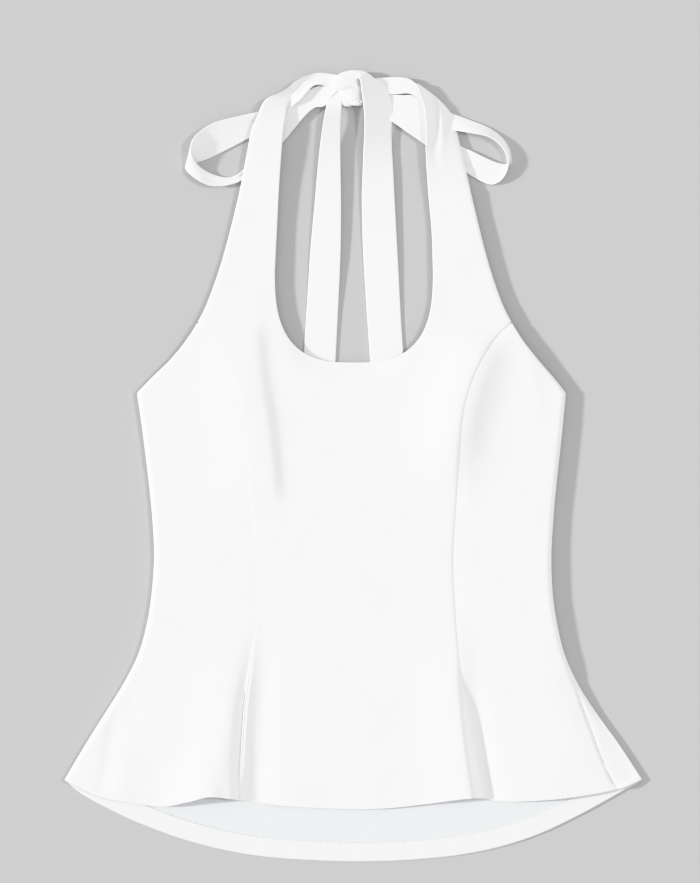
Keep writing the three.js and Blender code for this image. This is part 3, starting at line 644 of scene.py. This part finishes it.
backLook = {
    "thickness": 1.5,
    "inset": 0.5,                       # of its side edges from the outline
    "columns": 110, "width": 560, "rows": 130, "height": 460,
}
turnUpLie = {
    "depth": 18.0, "thickness": 0.5,
    "fromHem": 1.0,
    "ends": (-284, 285), "columns": 260,
    "rows": 8, "close": (0.6, 1.2, 2.0),
    "ripple": 0.12, "rippleLengths": (7.3, 17.1),
}


# Points of the back's hem
def backHemPoints(x):
    return np.stack([x, along(cut["backHem"], x)], 1)


# The back: one patch, flat underneath
def backPanel():
    inset = backLook["inset"]
    across = edgedShares(backLook["width"], backLook["columns"])
    up = edgedShares(backLook["height"], backLook["rows"])
    foot = [cut["bodySide"][0][left] + inset, cut["bodySide"][0][right] - inset]
    hem = backHemPoints(foot[0] + (foot[1] - foot[0]) * across)
    sides = []
    for side, inward in ((left, inset), (right, -inset)):
        y = hem[0 if side == left else -1, 1] + (cut["backTopY"] - hem[0, 1]) * up
        x = outlineX(y, side) + inward
        x[0] = hem[0 if side == left else -1, 0]
        sides.append(np.stack([x, y], 1))
    top = sides[0][-1] + (sides[1][-1] - sides[0][-1]) * across[:, None]
    plan, faces = joinPatches([coonsPatch(hem, top, sides[0], sides[1], across, up)])
    height = np.full(len(plan), backLook["thickness"])
    return clothWall(plan, faces, height, backLook["thickness"])


# the back carries painted shade from the front above it in its colour, besides its duller reverse
# face
backPiece = addPiece("backPanel", [backPanel()], crepeInsideAndPaintedShade, ["back"])


# The band of cloth turned up on the back's inside: it follows the hem at its own depth, thinning
# to nothing where it runs out under the front at both ends
def hemTurnUp():
    look = turnUpLie
    hem = backHemPoints(np.linspace(*look["ends"], look["columns"]))
    inward = headings(hem)[1]
    shares = edgedShares(look["depth"], look["rows"], look["close"])[:, None, None]
    patch = hem + inward * (look["fromHem"] + look["depth"] * shares)
    plan, faces = joinPatches([patch])
    top = np.full(len(plan), backLook["thickness"] + look["thickness"])
    short, long = look["rippleLengths"]
    top += look["ripple"] * np.sin(plan[:, 0] / short) * np.sin(plan[:, 0] / long + 1.0)
    return clothWall(plan, faces, top, look["thickness"])


turnUpPiece = addPiece("backHemTurnUp", [hemTurnUp()], crepeTurnUp)


# Blind stitches that hold the turned-up hem: short slanting dashes over its inner edge
stitchLook = {
    "spacing": 6.5, "length": 2.5, "slant": 0.6, "radius": 0.26,
    "ends": (-262, 264), "samples": 2000,
    "past": 0.9,                        # from the turn-up's edge
    "raised": 0.8,                      # share of the turn-up's thickness
    "taper": 0.98,                      # 1 would draw both tips in to a point
    "ring": 6, "steps": 5,
}


# Each stitch is a straight spindle: its radius follows the root of half a cosine wave
def hemStitches():
    look = stitchLook
    fine = backHemPoints(np.linspace(*look["ends"], look["samples"]))
    count = int(np.linalg.norm(np.diff(fine, axis=0), axis=1).sum() / look["spacing"])
    middle = evenly(fine, count)
    run, inward = headings(middle)
    middle = middle + inward * (turnUpLie["depth"] + look["past"])
    heading = np.cos(look["slant"]) * run + np.sin(look["slant"]) * inward
    beside = np.stack([-heading[:, 1], heading[:, 0]], 1)
    share = np.linspace(-0.5, 0.5, look["steps"])
    radius = look["radius"] * np.sqrt(np.cos(share * np.pi * look["taper"]))
    turn = np.arange(look["ring"]) / look["ring"] * 2 * np.pi
    across = radius[:, None] * np.cos(turn)
    lift = np.broadcast_to(radius[:, None] * np.sin(turn), across.shape)
    onward = (share * look["length"])[:, None, None]
    plan = (middle[:, None, None] + heading[:, None, None] * onward
            + beside[:, None, None] * across[..., None])
    level = backLook["thickness"] + turnUpLie["thickness"] * look["raised"]
    z = np.broadcast_to(level + lift, plan.shape[:3])
    points = np.concatenate([plan, z[..., None]], 3).reshape(-1, 3)
    one = gridFaces(look["steps"], look["ring"], closed=True)
    foot = capFaces(look["ring"])
    one = np.concatenate([one, foot[:, ::-1], foot + (look["steps"] - 1) * look["ring"]])
    each = np.arange(count)[:, None, None] * look["steps"] * look["ring"]
    return points, (one[None] + each).reshape(-1, 4)


addPiece("hemStitches", [hemStitches()], crepe("sewingThread", threadLook))
print("back made")


# Ties. Each is a tube of cloth pressed flat. A row is a place along it: one edge (ax, ay, az)
# and the other (bx, by, bz)

tieLook = {
    "thickness": 1.3,
    "cloth": 0.5,
    "step": 2.0, "fewest": 8,           # steps along a tie
    "across": 14,                       # points across it
    "close": (0, 0.12, 0.45, 1.0),      # places near an edge, in thicknesses
    "usualWidth": 24,                   # the width at which they are worked out
    "pleatFade": 0.8,                   # under 1 keeps a pleat full for longer
}


# A flat tube between two smooth edges. Its outer skin stands half a thickness off the band on both
# sides and closes round at the edges; its inner skin lies one cloth inside. Pleats are (start,
# end, place across, height, width): lengthwise bells, in millimetres and shares
def tieTube(rows, pleats, look=tieLook):
    rows = np.array(rows, float)
    a, b = rows[:, :3], rows[:, 3:]
    middle = (a + b) / 2
    lengths = lengthsAlong(middle)
    count = max(int(lengths[-1] / look["step"]), look["fewest"])
    at = np.linspace(0, lengths[-1], count + 1)
    edgeA = np.stack([along(np.column_stack([lengths, a]), at, 1 + k) for k in range(3)], 1)
    edgeB = np.stack([along(np.column_stack([lengths, b]), at, 1 + k) for k in range(3)], 1)
    across = edgeB - edgeA
    width = np.linalg.norm(across, axis=1)
    onward = np.gradient((edgeA + edgeB) / 2, axis=0)
    facing = np.cross(across, onward)
    facing /= np.linalg.norm(facing, axis=1, keepdims=True)
    if facing[:, 2].mean() < 0:
        facing = -facing
    close = np.array(look["close"]) * look["thickness"] / look["usualWidth"]
    v = np.concatenate([close, np.linspace(close[-1], 1 - close[-1], look["across"])[1:-1],
                        1 - close[::-1]])

    # both faces of the tube at an inset, their lift a quarter round at each edge
    def skin(inset):
        halfThick = look["thickness"] / 2 - inset
        edge = inset / width[:, None]
        place = edge + (1 - 2 * edge) * v
        nearest = np.minimum(v, 1 - v) * (width[:, None] - 2 * inset)
        lift = halfThick * np.sqrt(1 - (1 - np.minimum(nearest / halfThick, 1)) ** 2)
        relief = np.zeros_like(place)
        for start, end, centre, height, spread in pleats:
            t = np.clip((at - start) / (end - start), 0, 1)[:, None]
            relief = relief + (height * np.sin(np.pi * t) ** look["pleatFade"]
                               * np.exp(-(((place - centre) * width[:, None] / spread) ** 2)))
        base = (edgeA[:, None] + across[:, None] * place[..., None]
                + facing[:, None] * relief[..., None])
        upper = base + facing[:, None] * lift[..., None]
        lower = base - facing[:, None] * lift[..., None]
        return np.concatenate([upper, lower[:, -2:0:-1]], 1)

    outer, inner = skin(0.0), skin(look["cloth"])
    ringCount = outer.shape[1]
    outerFaces = gridFaces(count + 1, ringCount, closed=True)
    innerFaces = outerFaces[:, ::-1] + outer.shape[0] * ringCount
    points = np.concatenate([outer.reshape(-1, 3), inner.reshape(-1, 3)])
    k = np.arange(ringCount)
    after = (k + 1) % ringCount
    total = outer.shape[0] * ringCount
    first = np.stack([after, k, k + total, after + total], 1)
    last = first[:, ::-1] + count * ringCount
    return points, np.concatenate([outerFaces, innerFaces, first, last])


ties = {
    "strapTieLeft": {
        "node": "strap_tie_left",
        "pleats": [(14, 84, 0.5, -0.8, 1.5)],
        "rows": [
            (-80, 345, 2.6, -68.5, 340, 2.8), (-74, 355, 2.9, -65.5, 351, 3.6),
            (-68, 366, 3.6, -60.5, 360.5, 5.2), (-60, 375.5, 5, -53, 366.5, 7),
            (-53, 382, 5.8, -45.5, 375, 7.6), (-43.5, 387, 6.4, -39, 381, 7.6),
            (-33, 388.6, 6.2, -31.5, 381.8, 6.8), (-22, 388.6, 5.6, -23, 379.5, 5.4),
            (-9, 386.4, 5.8, -10, 379, 5.8),
        ],
    },
    "strapTieRight": {
        "node": "strap_tie_right",
        "pleats": [(8, 60, 0.3, 0.35, 3)],
        "rows": [
            (8, 374, 3.2, 8, 388.5, 3.2), (20, 373.2, 3.4, 20, 389.2, 3.2),
            (31, 372.9, 4, 31, 389.6, 3.4), (45, 373, 5, 46, 389.9, 4),
            (57, 373.2, 5.6, 56.5, 388, 4.6), (66, 368.5, 5.6, 63.5, 383, 4.8),
            (76, 360, 5, 74, 373.5, 3.8),
        ],
    },
    "loopLeft": {
        "node": "loop_left",
        "pleats": [(62, 128, 0.14, -0.7, 1.3), (70, 122, 0.27, -0.6, 1.3),
                   (186, 246, 0.5, -0.9, 1.8)],
        "rows": [
            (-17.4, 380, 1.4, -20, 368, 1.2), (-35, 377, 1.1, -31.5, 363, 0.9),
            (-50, 369, 1, -45, 355.5, 0.9), (-66, 359, 1.1, -61, 344.5, 0.9),
            (-83, 359, 1.6, -83, 336, 0.9), (-97, 355, 3.2, -101.5, 330, 1),
            (-115.5, 350.5, 5.6, -121.5, 320, 0.9), (-137, 344.6, 7.8, -143, 309.5, 0.9),
            (-151.5, 336.5, 9.6, -157, 304.5, 0.9), (-160, 326.5, 11.6, -165, 303, 0.9),
            (-161.8, 316.5, 10.6, -167.6, 299, 2.4), (-158.5, 306.5, 7.4, -164.5, 294, 5.4),
            (-150, 298, 4, -154, 286, 7), (-137.5, 292, 2, -141.5, 281, 5.6),
            (-122.5, 290, 1.4, -125, 281.8, 3.2), (-109.5, 298, 1.8, -107, 289, 1.6),
            (-97, 315.5, 2.8, -88, 307, 2), (-84, 338, 2.8, -69.4, 326, 2.6),
            (-63, 362, 2.8, -47.6, 351.6, 3), (-50, 374, 3, -38, 359.5, 3.4),
            (-37, 380.5, 3.4, -30.5, 360.2, 4.2), (-27, 382.5, 4, -26.3, 363, 5.2),
            (-20, 383.5, 4.8, -20.5, 371.5, 6), (-12, 384, 6, -13.5, 377.5, 6.8),
        ],
    },
    "loopRight": {
        "node": "loop_right",
        "pleats": [(185, 250, 0.3, -0.5, 2.4), (284, 316, 0.3, -0.9, 1.3)],
        "rows": [
            (9.8, 360, 1.6, 9.8, 371, 1.2), (31, 355, 1.4, 31, 371.6, 1.1),
            (52, 348.5, 1.3, 56, 369, 1), (70, 343, 1.3, 72, 363.5, 0.9),
            (88, 339, 1.8, 86, 359.5, 0.9), (105, 336, 5, 99.5, 354, 1),
            (119, 333.5, 7.2, 116, 347.8, 0.9), (135, 330, 7.2, 135, 340.2, 0.9),
            (146, 322.8, 6.6, 147.5, 331.5, 0.9), (152.8, 313.5, 6.6, 154.8, 320.5, 0.9),
            (154.8, 303, 6.4, 157.2, 309.5, 0.9), (153, 293.5, 5.2, 154, 303.5, 1.2),
            (147.5, 286, 3.2, 145, 304.5, 2), (139, 282.6, 1.8, 132.5, 309.6, 2.4),
            (129, 285.6, 1.3, 118, 316.8, 1.8), (113, 294.5, 1.2, 108.5, 321.2, 1.2),
            (96, 305.8, 2.8, 92, 334, 1.8), (71.5, 323, 4.2, 80, 360, 2.6),
            (54, 335, 4.6, 63, 371.8, 3), (38.5, 346, 4, 50, 372.2, 3.2),
            (22, 357, 3, 31, 374, 2.8), (9.8, 360, 2.2, 9.8, 376, 2.4),
        ],
    },
    "tailLeft": {
        "node": "tail_left",
        "pleats": [],
        "rows": [
            (-15.5, 377.5, 6, -4.5, 374.5, 5.6), (-21.5, 372.5, 4.8, -7.5, 372.5, 6),
            (-26.3, 366.5, 5.2, -10.4, 368.5, 5.8), (-27, 359.4, 7, -11.3, 360.5, 5.6),
            (-28.8, 349, 8.2, -12.2, 349, 5.3), (-31.6, 331, 7.4, -12.7, 331, 4.8),
            (-34.4, 307, 5.8, -12.5, 307, 4.2), (-38, 267, 3.8, -11.9, 267, 3.6),
            (-42.5, 217, 2.4, -12.3, 217, 2.8), (-45.7, 167, 1.2, -14.4, 167, 1.4),
            (-47.6, 137, 0.9, -15.9, 137, 0.9), (-50, 107, 0.8, -17.4, 107, 0.8),
            (-51.6, 80, 0.8, -18.4, 80, 0.8),
        ],
    },
    "tailRight": {
        "node": "tail_right",
        "pleats": [],
        "rows": [
            (1, 388, 10.2, 6, 396.4, 6), (4.8, 388.6, 11.6, 11.2, 395.6, 6),
            (6.6, 387.2, 13, 16.6, 392.6, 5.8), (7.6, 384, 13.4, 21.4, 388.6, 5.4),
            (8.2, 379.5, 13.4, 27.6, 384.8, 5), (8.8, 374, 13.2, 33.2, 378.6, 4.6),
            (9.6, 367, 12.7, 36.8, 370.4, 4.4), (10.6, 359.5, 12, 38.4, 360.6, 4.1),
            (11.4, 349.5, 11, 38.8, 348.5, 3.3), (11.4, 335, 9.6, 38.6, 335, 2.6),
            (10.6, 317, 7.7, 39.2, 317, 2.2), (9.6, 292, 4.8, 40.6, 292, 2.4),
            (8.9, 267, 3.4, 41.8, 267, 2.2), (10.2, 217, 1.7, 44.5, 217, 1.7),
            (13.1, 167, 1, 47.1, 167, 1), (15.2, 137, 0.8, 48.8, 137, 0.8),
            (17.2, 107, 0.8, 51, 107, 0.8), (18.8, 80, 0.8, 52.6, 80, 0.8),
        ],
    },
}
for name, tie in ties.items():
    tube = tieTube(tie["rows"], tie["pleats"])
    addPiece(name, [tube], crepeFace, [tie["node"]])
print("ties made")


# The knot: the last turn of the tie, wrapped from the left ties down to the right, over a
# smaller fold that shows below it. Rows of y, left, right, low and high
knotLook = {
    "round": (0.95, 0.85),              # powers of the ring across and up, 1 for an ellipse
    "creaseFade": 0.5,                  # of the creases towards the widest line
    "tip": 0.02, "tipStep": 0.3,        # size and place of the end sections
    "ring": 72, "sections": 90,
    "wrap": [
        (396.4, -3, 6, 4.6, 7.4), (395.2, -8, 9, 3.6, 8.6),
        (392.6, -14.6, 12, 2.4, 9.8), (388.5, -19, 12.6, 1.6, 10.6),
        (384.5, -23, 12.6, 1.2, 11), (380, -23, 12.6, 1.2, 11.2),
        (376.5, -17, 12.4, 1.2, 11.2), (373, -11, 11.8, 1.2, 11),
        (369, -6.4, 11.2, 1.4, 10.6), (365, -3.6, 11, 2, 9.8),
        (362.2, -1.6, 10.4, 3.2, 8.6), (361.2, 1, 8.6, 4.4, 7.4),
    ],
    "fold": [
        (373, -11, -3, 1.2, 7), (369, -11.6, -1.4, 1, 7.2),
        (364, -11.6, -0.4, 1, 6.6), (361.6, -10.8, -0.6, 1.4, 5.6),
        (360.6, -8.6, -2.4, 2.4, 4.4),
    ],
    # creases of the wrap's upper half; a height below 0 presses in
    "creases": [
        {"points": [(4.6, 387.5), (6.6, 384.6), (7.6, 380)], "height": -3.2, "widths": (1.5, 1.5),
         "fade": (0.2, 0.3)},
        {"points": [(6.2, 386), (7.6, 378), (8.8, 368), (9.4, 363)], "height": -0.9,
         "widths": (4.5, 4.5), "fade": (0.3, 0.1)},
        {"points": [(-2, 364.2), (3, 366), (9, 364.4)], "height": -1.2,
         "widths": (0.9, 0.9), "fade": (0.2, 0.2)},
        {"points": [(-18, 382.5), (-10, 384), (0, 380), (5, 372)], "height": -0.7,
         "widths": (2.2, 2.2), "fade": (0.3, 0.4)},
        {"points": [(-18, 377.5), (-14.6, 377), (-11, 374)], "height": -1.6, "widths": (1.2, 1.2),
         "fade": (0.3, 0.4)},
        {"points": [(-12, 391), (-3, 389), (4, 390)], "height": 0.5, "widths": (3, 3),
         "fade": (0.4, 0.4)},
        {"points": [(-13, 393), (-17, 385), (-15, 375)], "height": 1.7, "widths": (13, 13),
         "fade": (0.1, 0.1)},
    ],
}


# Rounded sections one behind another, each between its left, right, low and high. Creases move the
# upper half. Both ends close on a last section drawn in to almost a point
def roundLump(rows, table=(), look=knotLook):
    rows = np.array(rows, float)[::-1]
    ring = look["ring"]
    y = np.linspace(rows[0, 0], rows[-1, 0], look["sections"])
    leftX, rightX, low, high = (along(rows, y, k) for k in range(1, 5))
    turn = (np.arange(ring) + 0.5) / ring * 2 * np.pi
    c, s = np.cos(turn), np.sin(turn)
    powerX, powerZ = look["round"]
    roundX, roundZ = np.sign(c) * np.abs(c) ** powerX, np.sign(s) * np.abs(s) ** powerZ
    x = (leftX + rightX)[:, None] / 2 + (rightX - leftX)[:, None] / 2 * roundX
    z = (low + high)[:, None] / 2 + (high - low)[:, None] / 2 * roundZ
    level = np.broadcast_to(y[:, None], x.shape)
    dent = creaseRelief(x, level, table)
    z = z + dent * np.clip(roundZ, 0, 1) ** look["creaseFade"]
    grid = np.stack([x, level, z], 2)
    ends = []
    for edge, step in ((0, -look["tipStep"]), (-1, look["tipStep"])):
        centre = grid[edge].mean(0)
        ends.append(centre + (grid[edge] - centre) * look["tip"] + [0, step, 0])
    grid = np.concatenate([ends[0][None], grid, ends[1][None]])
    faces = gridFaces(len(grid), ring, closed=True)
    last = (len(grid) - 1) * ring
    foot = capFaces(ring)
    return grid.reshape(-1, 3), np.concatenate([faces, foot[:, ::-1], foot + last])


knotShells = [roundLump(knotLook["wrap"], knotLook["creases"]), roundLump(knotLook["fold"])]
knotPiece = addPiece("bowKnot", knotShells, crepeFace, ["knot"])
print("knot made")


# Floor, light and camera

stageLook = {
    "floorColor": (0.494, 0.497, 0.495),
    "floorRoughness": 0.9,
    "floorSpecular": 0.1,
    "floorSize": 30.0,
    "ambient": 0.675,
    "sky": (0.995, 1.0, 1.0),
    # heading in degrees from +X, turning left; elevation in degrees; strength; angular size
    "key": {"heading": 176.0, "elevation": 18.0, "strength": 3.8, "softness": 3.4},
    "fill": {"heading": 12.0, "elevation": 48.0, "strength": 0.87, "softness": 8.0},
    "cameraHeight": 3.0,                  # above the cloth's usual level
    "clothLevel": 0.005,
    "sensor": 36.0,
    "farthest": 50,
    "photoCentre": (-0.0030, 0.0255),     # what the middle of the picture looks at
    "metresPerPixel": 0.001,
    "photoSize": (700, 883),
    "shoulder": 0.75,                     # brightness from which highlights are rolled off
    "whiteLevel": 3.0,
    "toneSteps": (0.35, 0.68, 0.75, 0.82, 0.9, 1.0, 1.1, 1.25, 1.45, 1.75, 2.2),
}

floorMaterial = bpy.data.materials.new("floorPaper")
floorMaterial.use_nodes = True
floorShader = floorMaterial.node_tree.nodes["Principled BSDF"]
floorShader.inputs["Base Color"].default_value = (*stageLook["floorColor"], 1)
floorShader.inputs["Roughness"].default_value = stageLook["floorRoughness"]
floorShader.inputs["Specular IOR Level"].default_value = stageLook["floorSpecular"]
half = stageLook["floorSize"] / 2
corners = [(-half, -half, 0), (half, -half, 0), (half, half, 0), (-half, half, 0)]
floorMesh = bpy.data.meshes.new("floor")
floorMesh.from_pydata(corners, [], [(0, 1, 2, 3)])
floorMesh.materials.append(floorMaterial)
floor = bpy.data.objects.new("floor", floorMesh)
bpy.context.scene.collection.objects.link(floor)

world = bpy.data.worlds.new("studio")
bpy.context.scene.world = world
world.use_nodes = True
sky = world.node_tree.nodes["Background"]
sky.inputs["Color"].default_value = (*stageLook["sky"], 1)
sky.inputs["Strength"].default_value = stageLook["ambient"]

for name in ("key", "fill"):
    look = stageLook[name]
    light = bpy.data.lights.new(name, "SUN")
    light.energy = look["strength"]
    light.angle = np.radians(look["softness"])
    lamp = bpy.data.objects.new(name, light)
    lamp.rotation_euler = (0, np.radians(90 - look["elevation"]), np.radians(look["heading"]))
    bpy.context.scene.collection.objects.link(lamp)

camera = bpy.data.cameras.new("camera")
camera.sensor_width = stageLook["sensor"]
longSide = stageLook["photoSize"][1] * stageLook["metresPerPixel"]
camera.lens = camera.sensor_width * stageLook["cameraHeight"] / longSide
camera.clip_end = stageLook["farthest"]
cameraObject = bpy.data.objects.new("camera", camera)
cameraHeight = stageLook["cameraHeight"] + stageLook["clothLevel"]
cameraObject.location = (*stageLook["photoCentre"], cameraHeight)
bpy.context.scene.collection.objects.link(cameraObject)
bpy.context.scene.camera = cameraObject
view = bpy.context.scene.view_settings
view.view_transform = "Standard"
view.look = "None"
view.use_curve_mapping = True
view.curve_mapping.white_level = (stageLook["whiteLevel"],) * 3
tone = view.curve_mapping.curves[3]
shoulder, room = stageLook["shoulder"], 1 - stageLook["shoulder"]
tone.points[0].location = (0, 0)
tone.points[1].location = (1, 1)
# straight up to the shoulder, then 1 less an exponential that nears white
for bright in stageLook["toneSteps"]:
    shown = bright if bright <= shoulder else 1 - room * np.exp(-(bright - shoulder) / room)
    tone.points.new(bright / stageLook["whiteLevel"], float(shown))
view.curve_mapping.update()
print("stage made")
